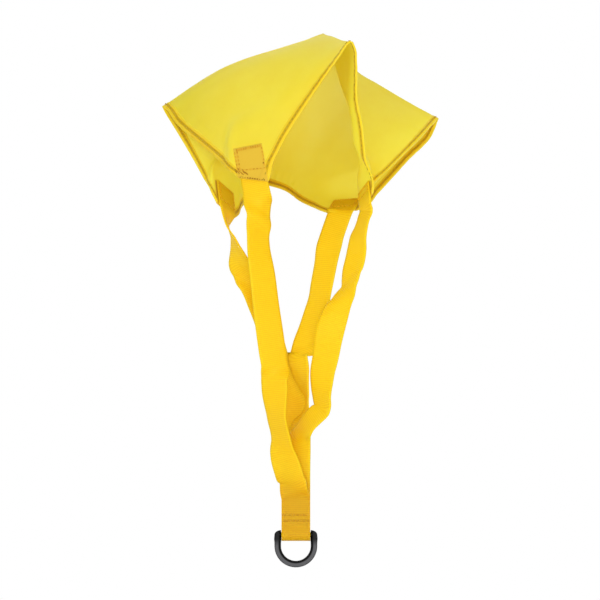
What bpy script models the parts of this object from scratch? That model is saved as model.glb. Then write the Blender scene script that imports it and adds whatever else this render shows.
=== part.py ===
# Swim parachute, a towed drag trainer for swimmers, hanging from its crown with its mouth towards -Y.
# One square panel of coated fabric, two lengths of flat webbing sewn to its four corners, and the
# moulded D-ring that both lengths pass through. Metres, +Z up, origin at the crown of the canopy.
import bpy
import bmesh
from math import atan2, cos, pi, radians, sin, sqrt
from mathutils import Vector

# Canopy panel
PANEL_SIDE = 0.305
CLOTH_THICK = 0.0007
HEM_WIDTH = 0.0065
HEM_THICK = 0.0015
PANEL_CELLS = 18

# Webbing
WEB_WIDTH = 0.025
WEB_THICK = 0.0013
CORNER_MARGIN = 0.001       # cloth beside the webbing at a cut corner
SEWN_LENGTH = 0.026         # webbing that lies on the cloth inside each corner
STRAIGHT_PAST_EDGE = 0.005  # webbing that stays in line with its sewn end
LEG_LENGTH = 0.2835         # front left leg, taut, from the corner's edge to the stitched stack
STACK_LENGTH = 0.0225       # four layers stitched together
STACK_TO_BAR = 0.0085       # from the stack's lower end to the axis of the ring's bar
WEB_STEP = 0.005            # spacing of the webbing's sections
WEB_STRIPS = 2              # faces across the webbing
LOOP_PAST_BAR = 20          # degrees that each loop follows the bar above its axis
LOOP_STEPS = 12

# D-ring
BAR_DIAMETER = 0.0044
RING_SECTION = 0.0057       # width of the bow and arms, seen from the front
RING_THICK = 0.0046
RING_EDGE = 0.0007          # rounding of the moulded edges
SHARP_CORNER = radians(50)  # the least angle that is rounded
ARM_LENGTH = 0.0098         # from the bar's axis to where the bow starts to curve
BOW_STEPS = 32
ARM_END_STEPS = 8
BAR_STEPS = 28
RING_SIDE_PLAY = 0.0004     # between the webbing's edge and each arm

# Clearances
LAYER_GAP = 0.0003          # between pieces that touch
MERGE_DISTANCE = 0.0004     # vertices nearer than this after the panel is cut become one

# Colour and roughness of each material
COATED_NYLON = ((0.82, 0.67, 0.06), 0.42)
WOVEN_POLYESTER = ((0.86, 0.56, 0.02), 0.6)
MOULDED_ACETAL = ((0.035, 0.035, 0.037), 0.38)

HALF = PANEL_SIDE / 2
CORNER_CUT = WEB_WIDTH + 2 * CORNER_MARGIN
LAYER_PITCH = WEB_THICK + LAYER_GAP


def drape(x, y, z):
    """A point of the hanging cloth, given in half sides of the panel from its crown."""
    return Vector((x, y, z)) * HALF


# The middle of each side of the panel, with points of the ridge that runs there from the crown
SIDE_MIDDLES = {
    "left": drape(-0.918, 0.0, -0.411),
    "front": drape(0.154, -0.984, -0.043),
    "right": drape(0.656, -0.210, -0.482),
    "back": drape(-0.341, 0.328, -0.852),
}
RIDGES = {
    "left": [drape(-0.075, -0.004, -0.024), drape(-0.249, -0.013, -0.082), drape(-0.590, -0.013, -0.197)],
    "front": [drape(0.052, -0.328, -0.010), drape(0.111, -0.656, -0.027)],
    "right": [drape(0.197, 0.144, -0.207), drape(0.315, 0.085, -0.276), drape(0.433, 0.026, -0.346)],
    "back": [drape(-0.092, 0.184, -0.236), drape(-0.223, 0.315, -0.538)],
}

# Each corner: the sides it joins, the point the panel would reach uncut, the way the cloth falls
# there, and the way across it from the first side to the second. Then how far the middle of that
# quarter bulges, or how far it folds along the diagonal and how soft that fold is
CORNERS = {
    "front_left": {
        "sides": ("left", "front"), "signs": (-1, -1),
        "point": drape(-0.401, -0.728, -0.890), "fall": (0.0, -0.30, -0.95), "across": (0.82, -0.50, 0.20),
        "bulge": drape(-0.039, -0.072, 0.085),
    },
    "back_left": {
        "sides": ("left", "back"), "signs": (-1, 1),
        "point": drape(-0.548, -0.580, -1.076), "fall": (0.08, -0.62, -0.78), "across": (0.55, 0.68, -0.48),
        "fold": drape(0.111, -0.170, 0), "softness": 0.25,
    },
    "back_right": {
        "sides": ("right", "back"), "signs": (1, 1),
        "point": drape(0.091, -0.554, -1.039), "fall": (-0.20, -0.92, -0.33), "across": (-0.96, 0.26, -0.07),
        "bulge": drape(-0.026, -0.013, 0),
    },
    "front_right": {
        "sides": ("right", "front"), "signs": (1, -1),
        "point": drape(0.258, -0.895, -1.035), "fall": (0.10, -0.47, -0.88), "across": (0.36, -0.83, 0.43),
        "fold": drape(-0.098, 0.039, -0.085), "softness": 0.05,
    },
}

# Points of each hem, from the middle of the side towards the corner
HEMS = {
    ("left", "front_left"): [drape(-0.838, -0.118, -0.508), drape(-0.702, -0.315, -0.628),
                             drape(-0.588, -0.485, -0.724)],
    ("left", "back_left"): [drape(-0.754, -0.295, -0.689)],
    ("front", "front_left"): [drape(0.080, -0.957, -0.148), drape(-0.006, -0.925, -0.273),
                              drape(-0.097, -0.892, -0.410), drape(-0.199, -0.839, -0.570)],
    ("front", "front_right"): [drape(0.182, -0.986, -0.080), drape(0.191, -0.984, -0.197),
                               drape(0.194, -0.977, -0.380), drape(0.222, -0.964, -0.518),
                               drape(0.245, -0.944, -0.719), drape(0.264, -0.934, -0.838)],
    ("right", "front_right"): [drape(0.525, -0.482, -0.623), drape(0.380, -0.668, -0.767),
                               drape(0.285, -0.750, -0.862)],
    ("right", "back_right"): [drape(0.610, -0.118, -0.593), drape(0.496, -0.164, -0.707),
                              drape(0.393, -0.295, -0.820), drape(0.289, -0.407, -0.929)],
    ("back", "back_left"): [drape(-0.393, 0.033, -0.905), drape(-0.462, -0.262, -0.981)],
    ("back", "back_right"): [drape(-0.216, 0.079, -0.892), drape(-0.131, -0.118, -0.951),
                             drape(-0.046, -0.302, -0.990)],
}
# The cloth under a sewn corner is flat, and joins the drape over these distances
FLAT_ACROSS = WEB_WIDTH / 2 + 0.0015
FLAT_ALONG = SEWN_LENGTH + 0.002
BLEND_ACROSS = 0.020
BLEND_ALONG = 0.032

# Where the D-ring hangs, seen from above
RING_X = -0.0236
RING_Y = -0.100

# Free stretch of each leg: (share of the way down, offset along X, offset along Y, turn in degrees,
# slant). The offset is from the straight line between the corner and the stack, in leg lengths. At no
# turn a leg's width runs along X, and a positive turn brings its right edge nearer to -Y. The slant is
# how far the straight line across the webbing leans back from square, as webbing leans where it rolls.
LEG_STATIONS = {
    "front_left": [
        (0.059, 0.0032, -0.0055, 19, -0.03), (0.110, 0.0006, -0.0060, -31, 0.33),
        (0.163, -0.0077, -0.0066, -42, 0.31), (0.228, -0.0138, -0.0074, -40, 0.10),
        (0.305, -0.0125, -0.0083, -31, -0.08), (0.397, -0.0134, -0.0093, -28, -0.11),
        (0.477, -0.0134, -0.0102, -23, -0.13), (0.548, -0.0126, -0.0075, -22, -0.16),
        (0.591, -0.0116, -0.0045, -22, -0.10), (0.626, -0.0151, -0.0049, 25, -0.02),
        (0.660, -0.0210, -0.0095, 28, -0.05), (0.690, -0.0239, -0.0127, 36, -0.09),
        (0.726, -0.0258, -0.0149, 47, -0.08), (0.754, -0.0265, -0.0152, 52, -0.09),
        (0.794, -0.0225, -0.0139, 53, -0.10), (0.820, -0.0214, -0.0142, 49, -0.07),
        (0.858, -0.0212, -0.0111, 32, -0.16), (0.898, -0.0155, -0.0133, 20, -0.28),
        (0.935, -0.0088, -0.0130, 23, -0.37), (0.952, -0.0032, -0.0118, 30, -0.34),
        (0.976, -0.0018, -0.0085, 14, -0.15)],
    "back_left": [
        (0.055, -0.0103, -0.0170, 94, -0.21), (0.093, -0.0028, -0.0165, 84, -0.04),
        (0.131, -0.0010, -0.0125, 71, -0.04), (0.166, -0.0007, -0.0087, 54, -0.09),
        (0.195, 0.0009, -0.0041, 43, -0.29), (0.229, 0.0149, 0.0004, 33, -0.51),
        (0.276, 0.0287, 0.0032, -15, -0.48), (0.345, 0.0398, 0.0090, -16, -0.35),
        (0.399, 0.0422, 0.0157, -28, -0.28), (0.468, 0.0405, 0.0304, -32, -0.30),
        (0.509, 0.0419, 0.0400, -30, -0.36), (0.540, 0.0445, 0.0471, -27, -0.42),
        (0.575, 0.0509, 0.0527, -29, -0.44), (0.616, 0.0579, 0.0604, -26, -0.39),
        (0.663, 0.0625, 0.0660, -13, -0.20), (0.706, 0.0556, 0.0693, -9, -0.02),
        (0.755, 0.0460, 0.0651, -9, 0.02), (0.837, 0.0301, 0.0454, -6, 0.02),
        (0.900, 0.0182, 0.0261, -6, 0.01)],
    "back_right": [
        (0.058, -0.0118, -0.0174, 38, 0.15), (0.099, -0.0182, -0.0153, 37, 0.21),
        (0.130, -0.0212, -0.0141, 33, 0.13), (0.182, -0.0223, -0.0163, 40, 0.06),
        (0.258, -0.0244, -0.0162, 42, 0.05), (0.306, -0.0254, -0.0187, 44, 0.04),
        (0.348, -0.0291, -0.0219, 40, 0.11), (0.403, -0.0354, -0.0237, 36, 0.18),
        (0.457, -0.0441, -0.0257, 33, 0.28), (0.496, -0.0516, -0.0266, 46, 0.49),
        (0.511, -0.0601, -0.0288, 53, 0.21), (0.541, -0.0538, -0.0295, 51, -0.01),
        (0.571, -0.0451, -0.0231, 58, 0.09), (0.615, -0.0296, -0.0108, 72, 0.18),
        (0.661, -0.0129, 0.0048, 86, 0.20), (0.703, -0.0121, 0.0123, 78, 0.07),
        (0.748, -0.0216, 0.0137, 51, 0.06), (0.810, -0.0184, 0.0093, 37, -0.04),
        (0.900, -0.0126, 0.0019, 17, 0.00)],
    "front_right": [
        (0.029, 0.0106, -0.0133, 66, -0.04), (0.057, 0.0085, -0.0169, 68, 0.25),
        (0.084, 0.0067, -0.0148, 67, 0.37), (0.122, 0.0047, -0.0104, 58, 0.32),
        (0.162, 0.0093, -0.0047, 51, 0.29), (0.210, 0.0124, 0.0015, 50, 0.46),
        (0.248, 0.0136, 0.0045, 56, 0.72), (0.272, 0.0126, 0.0055, 64, 0.81),
        (0.309, 0.0022, 0.0087, 56, 0.92), (0.354, -0.0098, 0.0110, 33, 0.73),
        (0.415, -0.0140, 0.0117, 11, 0.42), (0.472, -0.0126, 0.0109, 21, 0.29),
        (0.522, -0.0098, 0.0109, 27, 0.21), (0.569, -0.0085, 0.0095, 33, 0.13),
        (0.616, -0.0018, 0.0027, 43, -0.04), (0.657, 0.0069, -0.0075, 53, -0.14),
        (0.688, 0.0155, -0.0147, 56, -0.17), (0.706, 0.0086, -0.0176, 51, 0.28),
        (0.732, -0.0091, -0.0155, 52, 0.34), (0.762, -0.0236, -0.0080, 55, 0.50),
        (0.796, -0.0335, 0.0068, 41, 0.51), (0.852, -0.0291, 0.0100, 17, 0.12),
        (0.929, -0.0152, 0.0061, 9, 0.02)],
}
# Layers of the stack, counted from its middle: the outer length goes round the inner one.
# The sign at the sewn end says which way the webbing's width runs across the corner.
WEBBINGS = {
    "left_webbing": {"legs": (("front_left", -1.5, 1), ("back_left", 1.5, -1)), "layer": 1},
    "right_webbing": {"legs": (("front_right", -0.5, 1), ("back_right", 0.5, -1)), "layer": 0},
}


def smooth_step(value):
    value = min(max(value, 0.0), 1.0)
    return value * value * (3 - 2 * value)


def curve_between(points, samples):
    """Points of a smooth curve through the given ones, of any number of dimensions."""
    first = points[0] * 2 - points[1]
    last = points[-1] * 2 - points[-2]
    ring = [first] + list(points) + [last]
    curve = []
    for before, start, end, after in zip(ring, ring[1:], ring[2:], ring[3:]):
        knots = [0.0]
        for one, two in ((before, start), (start, end), (end, after)):
            knots.append(knots[-1] + sqrt(max((two - one).length, 1e-9)))
        for index in range(samples):
            place = knots[1] + (knots[2] - knots[1]) * index / samples
            low = mix(before, start, knots[0], knots[1], place)
            middle = mix(start, end, knots[1], knots[2], place)
            high = mix(end, after, knots[2], knots[3], place)
            left = mix(low, middle, knots[0], knots[2], place)
            right = mix(middle, high, knots[1], knots[3], place)
            curve.append(mix(left, right, knots[1], knots[2], place))
    curve.append(points[-1].copy())
    return curve


def mix(start, end, start_knot, end_knot, place):
    share = (place - start_knot) / (end_knot - start_knot)
    return start * (1 - share) + end * share


class MeasuredCurve:
    """A curve that is asked for the point at a share of its length."""

    def __init__(self, points, samples=20):
        self.points = curve_between(points, samples)
        self.reach = [0.0]
        for one, two in zip(self.points, self.points[1:]):
            self.reach.append(self.reach[-1] + (two.xyz - one.xyz).length)
        self.length = self.reach[-1]

    def at(self, share):
        target = min(max(share, 0.0), 1.0) * self.length
        for index in range(1, len(self.reach)):
            if self.reach[index] >= target:
                span = self.reach[index] - self.reach[index - 1]
                part = (target - self.reach[index - 1]) / span if span else 0.0
                return self.points[index - 1].lerp(self.points[index], part)
        return self.points[-1].copy()


def dome(s, t):
    """A swelling that is 0 round the edges of a quarter and 1 in its middle."""
    return 4 * s * (1 - s) * 4 * t * (1 - t)


def pleat(s, t, softness):
    """A fold along the diagonal that is 0 round the edges of a quarter and highest in its middle."""
    spread = sqrt((s - t) ** 2 + softness ** 2)
    lower = max((s + t - spread) / 2, 0.0)
    upper = min((s + t + spread) / 2, 1.0)
    return 4 * lower * (1 - upper)


def corner_frame(corner):
    """The cut edge's middle, and the fall, across and inward directions of a sewn corner."""
    fall = Vector(corner["fall"]).normalized()
    across = Vector(corner["across"])
    across = (across - fall * across.dot(fall)).normalized()
    sign_u, sign_v = corner["signs"]
    inward = across.cross(fall) * sign_u * sign_v
    tip = corner["point"] - fall * CORNER_CUT / 2
    return tip, fall, across, inward


class Drape:
    """Where each point of the flat panel lies when it hangs."""

    def __init__(self):
        crown = Vector((0, 0, 0))
        self.ridges = {side: MeasuredCurve([crown] + RIDGES[side] + [SIDE_MIDDLES[side]]) for side in RIDGES}
        self.hems = {}
        for (side, name), points in HEMS.items():
            tip, fall, across, inward = corner_frame(CORNERS[name])
            towards = -1 if side == CORNERS[name]["sides"][0] else 1
            cut_end = tip + across * towards * CORNER_CUT / 2
            ends = [cut_end, CORNERS[name]["point"]]
            self.hems[side, name] = MeasuredCurve([SIDE_MIDDLES[side]] + points + ends)
        self.quarters = {corner["signs"]: (name, corner) for name, corner in CORNERS.items()}

    def at(self, u, v):
        signs = (-1 if u < 0 else 1, -1 if v < 0 else 1)
        name, corner = self.quarters[signs]
        side_u, side_v = corner["sides"]
        s = abs(u) / HALF
        t = abs(v) / HALF
        edges = (self.ridges[side_u].at(s) * (1 - t) + self.hems[side_v, name].at(s) * t
                 + self.ridges[side_v].at(t) * (1 - s) + self.hems[side_u, name].at(t) * s)
        ends = (SIDE_MIDDLES[side_u] * s * (1 - t) + SIDE_MIDDLES[side_v] * (1 - s) * t
                + corner["point"] * s * t)
        point = edges - ends
        if "bulge" in corner:
            point += corner["bulge"] * dome(s, t)
        if "fold" in corner:
            point += corner["fold"] * pleat(s, t, corner["softness"])

        tip, fall, across, inward = corner_frame(corner)
        along = (abs(u) + abs(v)) / sqrt(2) - (HALF * sqrt(2) - CORNER_CUT / 2)
        beside = (abs(v) - abs(u)) / sqrt(2)
        flat = smooth_step((FLAT_ACROSS + BLEND_ACROSS - abs(beside)) / BLEND_ACROSS)
        flat *= smooth_step((FLAT_ALONG + BLEND_ALONG + along) / BLEND_ALONG)
        return point.lerp(tip + fall * along + across * beside, flat)


def add_object(name, mesh, collection, material):
    piece = bpy.data.objects.new(name, mesh)
    collection.objects.link(piece)
    piece.data.materials.append(material)
    return piece


def make_material(name, color, roughness):
    material = bpy.data.materials.new(name)
    material.use_nodes = True
    shader = material.node_tree.nodes["Principled BSDF"]
    shader.inputs["Base Color"].default_value = (*color, 1)
    shader.inputs["Roughness"].default_value = roughness
    shader.inputs["Metallic"].default_value = 0
    return material


def mark_sewn_patch(sheet, corner):
    """Gives the flat cloth under the sewn webbing its own edges."""
    sign_u, sign_v = corner["signs"]
    outwards = Vector((sign_u, sign_v, 0)).normalized()
    beside = Vector((-sign_u, sign_v, 0)).normalized()
    patch_end = outwards * (HALF * sqrt(2) - CORNER_CUT / 2 - FLAT_ALONG)
    cuts = ((patch_end, outwards), (beside * FLAT_ACROSS, beside), (-beside * FLAT_ACROSS, beside))
    for place, normal in cuts:
        near = [face for face in sheet.faces
                if (face.calc_center_median() - patch_end).length < FLAT_ALONG + BLEND_ACROSS]
        edge_parts = {part for face in near for part in [face, *face.edges, *face.verts]}
        bmesh.ops.bisect_plane(sheet, geom=list(edge_parts), plane_co=place, plane_no=normal)


def build_canopy(collection, hanging):
    """The panel is cut flat, its corners are trimmed for the webbing, and then it is hung."""
    sheet = bmesh.new()
    bmesh.ops.create_grid(sheet, x_segments=PANEL_CELLS, y_segments=PANEL_CELLS, size=HALF)
    for corner in CORNERS.values():
        sign_u, sign_v = corner["signs"]
        outwards = Vector((sign_u, sign_v, 0)).normalized()
        edge = outwards * (HALF * sqrt(2) - CORNER_CUT / 2)
        parts = sheet.verts[:] + sheet.edges[:] + sheet.faces[:]
        bmesh.ops.bisect_plane(sheet, geom=parts, plane_co=edge, plane_no=outwards, clear_outer=True)
    for direction in (Vector((1, 0, 0)), Vector((-1, 0, 0)), Vector((0, 1, 0)), Vector((0, -1, 0))):
        parts = sheet.verts[:] + sheet.edges[:] + sheet.faces[:]
        bmesh.ops.bisect_plane(sheet, geom=parts, plane_co=direction * (HALF - HEM_WIDTH), plane_no=direction)
    for corner in CORNERS.values():
        mark_sewn_patch(sheet, corner)
    crease_faces = [face for face in sheet.faces
                    if face.calc_center_median().x > 0 and face.calc_center_median().y < 0]
    crease_parts = {part for face in crease_faces for part in [face, *face.edges, *face.verts]}
    bmesh.ops.bisect_plane(sheet, geom=list(crease_parts), plane_co=(0, 0, 0), plane_no=(1, 1, 0))
    bmesh.ops.remove_doubles(sheet, verts=sheet.verts[:], dist=MERGE_DISTANCE)

    mesh = bpy.data.meshes.new("canopy")
    hem_layer = sheet.verts.layers.deform.verify()
    for vert in sheet.verts:
        u, v = vert.co.x, vert.co.y
        in_hem = max(abs(u), abs(v)) > HALF - HEM_WIDTH - LAYER_GAP
        vert[hem_layer][0] = 1.0 if in_hem else CLOTH_THICK / HEM_THICK
        vert.co = hanging.at(u, v)
    bmesh.ops.recalc_face_normals(sheet, faces=sheet.faces[:])
    sheet.to_mesh(mesh)
    sheet.free()
    mesh.shade_smooth()
    canopy = add_object("canopy", mesh, collection, make_material("coated_nylon", *COATED_NYLON))
    canopy.vertex_groups.new(name="hem")
    wall = canopy.modifiers.new("cloth and hems", 'SOLIDIFY')
    wall.thickness = HEM_THICK
    wall.offset = 0
    wall.vertex_group = "hem"
    return canopy


def leg_sections(name, layer, across_sign, stack_top):
    """Middle and width direction of each section of a leg, from its sewn end to the stack."""
    tip, fall, across, inward = corner_frame(CORNERS[name])
    seat = tip + inward * (HEM_THICK / 2 + LAYER_GAP + WEB_THICK / 2)
    across = across * across_sign
    sewn_steps = round(SEWN_LENGTH / WEB_STEP)
    sewn = [(seat + fall * SEWN_LENGTH * (index / sewn_steps - 1), across) for index in range(sewn_steps)]
    end = stack_top + Vector((0, layer * LAYER_PITCH, 0))

    route = []
    for share, offset_x, offset_y, turn, slant in LEG_STATIONS[name]:
        place = seat.lerp(end, share) + Vector((offset_x, offset_y, 0)) * LEG_LENGTH
        route.append(Vector((*place, radians(turn) * WEB_WIDTH, slant * WEB_WIDTH)))
    first_turn = leg_turn(across, fall, route[0].w / WEB_WIDTH)
    for distance in (STRAIGHT_PAST_EDGE, 0):
        route.insert(0, Vector((*(seat + fall * distance), first_turn * WEB_WIDTH, 0)))
    route.append(Vector((*end, 0, 0)))
    route.append(Vector((*(end - Vector((0, 0, WEB_STEP))), 0, 0)))

    curve = MeasuredCurve(route)
    stack_share = 1 - WEB_STEP / curve.length
    half_step = WEB_STEP / 2 / curve.length
    count = round(curve.length * stack_share / WEB_STEP)
    free = []
    for index in range(count + 1):
        share = stack_share * index / count
        point = curve.at(share)
        ahead = (curve.at(share + half_step).xyz - curve.at(share - half_step).xyz).normalized()
        if index == 0:
            ahead = fall
        lean = ahead * point[4] / WEB_WIDTH
        free.append((point.xyz, turned_across(ahead, point.w / WEB_WIDTH) - lean))
    return sewn + free


def level_and_depth(ahead):
    """The two directions across a leg: the one without depth, and the one square to it."""
    level = ahead.cross(Vector((0, 1, 0))).normalized()
    return level, ahead.cross(level).normalized()


def turned_across(ahead, turn):
    level, depth = level_and_depth(ahead)
    return level * cos(turn) + depth * sin(turn)


def leg_turn(across, ahead, near_turn):
    """The turn at which a leg's width lines up best with the sewn corner, near the next turn."""
    level, depth = level_and_depth(ahead)
    turn = atan2(across.dot(depth), across.dot(level))
    return turn + 2 * pi * round((near_turn - turn) / (2 * pi))


def build_webbing(name, plan, collection, material):
    """One length of webbing: down one leg, round the ring's bar, and up the other leg."""
    front, back = plan["legs"]
    bar = ring_axis()
    stack_top = bar + Vector((0, 0, STACK_TO_BAR + STACK_LENGTH))
    down = leg_sections(*front, stack_top)
    up = leg_sections(*back, stack_top)
    width_way = Vector((1, 0, 0))

    loop_radius = BAR_DIAMETER / 2 + LAYER_GAP + WEB_THICK / 2 + plan["layer"] * LAYER_PITCH
    depth = (plan["layer"] + 0.5) * LAYER_PITCH
    loop = [(bar + Vector((0, -depth, STACK_TO_BAR + STACK_LENGTH / 2)), width_way),
            (bar + Vector((0, -depth, STACK_TO_BAR)), width_way)]
    for index in range(LOOP_STEPS + 1):
        angle = radians((180 + 2 * LOOP_PAST_BAR) * index / LOOP_STEPS - LOOP_PAST_BAR)
        loop.append((bar + Vector((0, -cos(angle), -sin(angle))) * loop_radius, width_way))
    loop.append((bar + Vector((0, depth, STACK_TO_BAR)), width_way))
    loop.append((bar + Vector((0, depth, STACK_TO_BAR + STACK_LENGTH / 2)), width_way))

    strip = bmesh.new()
    rows = []
    for middle, across in down + loop + up[::-1]:
        places = [WEB_WIDTH * (index / WEB_STRIPS - 0.5) for index in range(WEB_STRIPS + 1)]
        rows.append([strip.verts.new(middle + across * place) for place in places])
    for row, following in zip(rows, rows[1:]):
        for side in range(WEB_STRIPS):
            strip.faces.new((row[side], row[side + 1], following[side + 1], following[side]))
    bmesh.ops.recalc_face_normals(strip, faces=strip.faces[:])
    mesh = bpy.data.meshes.new(name)
    strip.to_mesh(mesh)
    strip.free()
    mesh.shade_smooth()
    webbing = add_object(name, mesh, collection, material)
    wall = webbing.modifiers.new("webbing", 'SOLIDIFY')
    wall.thickness = WEB_THICK
    wall.offset = 0
    return webbing


def ring_axis():
    """The middle of the ring's bar, which hangs below the taut front left leg."""
    tip, fall, across, inward = corner_frame(CORNERS["front_left"])
    start = tip + inward * (HEM_THICK / 2 + LAYER_GAP + WEB_THICK / 2)
    front_layer = WEBBINGS["left_webbing"]["legs"][0][1] * LAYER_PITCH
    aside = Vector((RING_X - start.x, RING_Y + front_layer - start.y))
    drop = sqrt(LEG_LENGTH ** 2 - aside.length_squared)
    return Vector((RING_X, RING_Y, start.z - drop - STACK_LENGTH - STACK_TO_BAR))


def arc(middle, radius, start, end, count):
    """Points of an arc in the X-Z plane, angles in degrees from +X."""
    points = []
    for index in range(count + 1):
        angle = radians(start + (end - start) * index / count)
        points.append(middle + Vector((cos(angle), 0, sin(angle))) * radius)
    return points


def build_ring(collection):
    """A U-shaped bow with round arm ends, and the round bar between them."""
    inner = WEB_WIDTH / 2 + RING_SIDE_PLAY
    outer = inner + RING_SECTION
    end_radius = RING_SECTION / 2
    bow_middle = Vector((0, 0, -ARM_LENGTH))
    outline = arc(Vector((-inner - end_radius, 0, 0)), end_radius, 0, 180, ARM_END_STEPS)
    outline += arc(bow_middle, outer, 180, 360, BOW_STEPS)
    outline += arc(Vector((inner + end_radius, 0, 0)), end_radius, 0, 180, ARM_END_STEPS)
    outline += arc(bow_middle, inner, 360, 180, BOW_STEPS)

    bow = bmesh.new()
    face = bow.faces.new([bow.verts.new(point + Vector((0, -RING_THICK / 2, 0))) for point in outline])
    raised = bmesh.ops.extrude_face_region(bow, geom=[face])
    far_side = [part for part in raised["geom"] if isinstance(part, bmesh.types.BMVert)]
    bmesh.ops.translate(bow, verts=far_side, vec=(0, RING_THICK, 0))
    bmesh.ops.recalc_face_normals(bow, faces=bow.faces[:])
    mesh = bpy.data.meshes.new("d_ring")
    bow.to_mesh(mesh)
    bow.free()
    ring = add_object("d_ring", mesh, collection, make_material("moulded_acetal", *MOULDED_ACETAL))
    ring.location = ring_axis()

    bpy.ops.mesh.primitive_cylinder_add(vertices=BAR_STEPS, radius=BAR_DIAMETER / 2,
                                        depth=2 * (inner + end_radius), location=ring.location,
                                        rotation=(0, pi / 2, 0))
    bar = bpy.context.active_object
    bar.name = "bar_core"
    bar.hide_render = True
    bar.display_type = 'WIRE'
    for holder in bar.users_collection:
        holder.objects.unlink(bar)
    cutters.objects.link(bar)

    rounding = ring.modifiers.new("moulded edges", 'BEVEL')
    rounding.width = RING_EDGE
    rounding.segments = 2
    rounding.limit_method = 'ANGLE'
    rounding.angle_limit = SHARP_CORNER
    joined = ring.modifiers.new("bar", 'BOOLEAN')
    joined.operation = 'UNION'
    joined.solver = 'EXACT'
    joined.object = bar
    return ring


for old in list(bpy.data.objects):
    bpy.data.objects.remove(old, do_unlink=True)
parts = bpy.data.collections.new("swim_parachute")
cutters = bpy.data.collections.new("cutters")
bpy.context.scene.collection.children.link(parts)
bpy.context.scene.collection.children.link(cutters)

build_canopy(parts, Drape())
web_material = make_material("woven_polyester", *WOVEN_POLYESTER)
for web_name, web_plan in WEBBINGS.items():
    build_webbing(web_name, web_plan, parts, web_material)
build_ring(parts)
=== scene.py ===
import bpy
import bmesh
from bisect import bisect_left
from math import atan2, cos, exp, hypot, pi, radians, sin, sqrt
from mathutils import Matrix, Vector, noise


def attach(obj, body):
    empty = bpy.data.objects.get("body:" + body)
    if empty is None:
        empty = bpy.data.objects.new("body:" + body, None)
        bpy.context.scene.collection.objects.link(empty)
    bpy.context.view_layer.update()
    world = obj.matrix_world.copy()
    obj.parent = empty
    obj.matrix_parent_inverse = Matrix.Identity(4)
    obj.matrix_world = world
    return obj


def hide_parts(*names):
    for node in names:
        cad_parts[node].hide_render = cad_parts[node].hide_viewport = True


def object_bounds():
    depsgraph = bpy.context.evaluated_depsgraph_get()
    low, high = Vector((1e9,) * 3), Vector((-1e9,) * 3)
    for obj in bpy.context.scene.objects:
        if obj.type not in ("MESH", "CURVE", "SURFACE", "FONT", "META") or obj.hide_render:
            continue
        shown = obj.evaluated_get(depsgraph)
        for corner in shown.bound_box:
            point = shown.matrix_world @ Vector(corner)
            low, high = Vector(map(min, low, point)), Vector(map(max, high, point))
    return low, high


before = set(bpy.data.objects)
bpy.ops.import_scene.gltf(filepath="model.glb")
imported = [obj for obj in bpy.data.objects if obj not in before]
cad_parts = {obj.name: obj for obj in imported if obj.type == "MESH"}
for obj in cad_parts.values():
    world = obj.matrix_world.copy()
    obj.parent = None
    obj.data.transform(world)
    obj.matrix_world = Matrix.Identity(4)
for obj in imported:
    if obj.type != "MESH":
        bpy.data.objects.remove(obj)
cadLow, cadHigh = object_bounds()
millimetre = 0.001


# shared helpers
def toLinear(hexColour):
    channels = []
    for start in (1, 3, 5):
        value = int(hexColour[start:start + 2], 16) / 255
        channels.append(value / 12.92 if value <= 0.04045 else ((value + 0.055) / 1.055) ** 2.4)
    return (*channels, 1)


def smoothStep(value):
    value = min(max(value, 0.0), 1.0)
    return value * value * (3 - 2 * value)


def bump(distance, width):
    return exp(-(distance / width) ** 2)


def mixPoints(start, end, startKnot, endKnot, place):
    share = (place - startKnot) / (endKnot - startKnot)
    return start * (1 - share) + end * share


def curveThrough(points, samples=20):
    # a centripetal Catmull-Rom curve
    ring = [points[0] * 2 - points[1], *points, points[-1] * 2 - points[-2]]
    curve = []
    for before, start, end, after in zip(ring, ring[1:], ring[2:], ring[3:]):
        knots = [0.0]
        for one, two in ((before, start), (start, end), (end, after)):
            knots.append(knots[-1] + sqrt(max((two - one).length, 1e-9)))
        for index in range(samples):
            place = knots[1] + (knots[2] - knots[1]) * index / samples
            low = mixPoints(before, start, knots[0], knots[1], place)
            middle = mixPoints(start, end, knots[1], knots[2], place)
            high = mixPoints(end, after, knots[2], knots[3], place)
            left = mixPoints(low, middle, knots[0], knots[2], place)
            right = mixPoints(middle, high, knots[1], knots[3], place)
            curve.append(mixPoints(left, right, knots[1], knots[2], place))
    return curve + [points[-1].copy()]


def measured(points):
    # gives a function for the point at a share of the curve's length, and that length
    curve = curveThrough(points)
    reach = [0.0]
    for one, two in zip(curve, curve[1:]):
        reach.append(reach[-1] + (two.xyz - one.xyz).length)

    def pointAt(share):
        target = min(max(share, 0.0), 1.0) * reach[-1]
        index = min(max(bisect_left(reach, target), 1), len(reach) - 1)
        span = reach[index] - reach[index - 1]
        part = (target - reach[index - 1]) / span if span else 0.0
        return curve[index - 1].lerp(curve[index], part)
    return pointAt, reach[-1]


def finishMesh(bm, name):
    mesh = bpy.data.meshes.new(name)
    bm.to_mesh(mesh)
    bm.free()
    return mesh


def addObject(name, data):
    added = bpy.data.objects.new(name, data)
    bpy.context.scene.collection.objects.link(added)
    return added


def newPiece(name, bm, body, slot, material, *nodes):
    mesh = finishMesh(bm, name)
    for poly in mesh.polygons:
        poly.use_smooth = True
    piece = addObject(name, mesh)
    piece.data.materials.append(material)
    if nodes:
        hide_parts(*nodes)
    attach(piece, body)
    return piece


def link(tree, source, socket):
    # a node given as the source stands for its first output
    isNode = isinstance(source, bpy.types.Node)
    tree.links.new(source.outputs[0] if isNode else source, socket)


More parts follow.
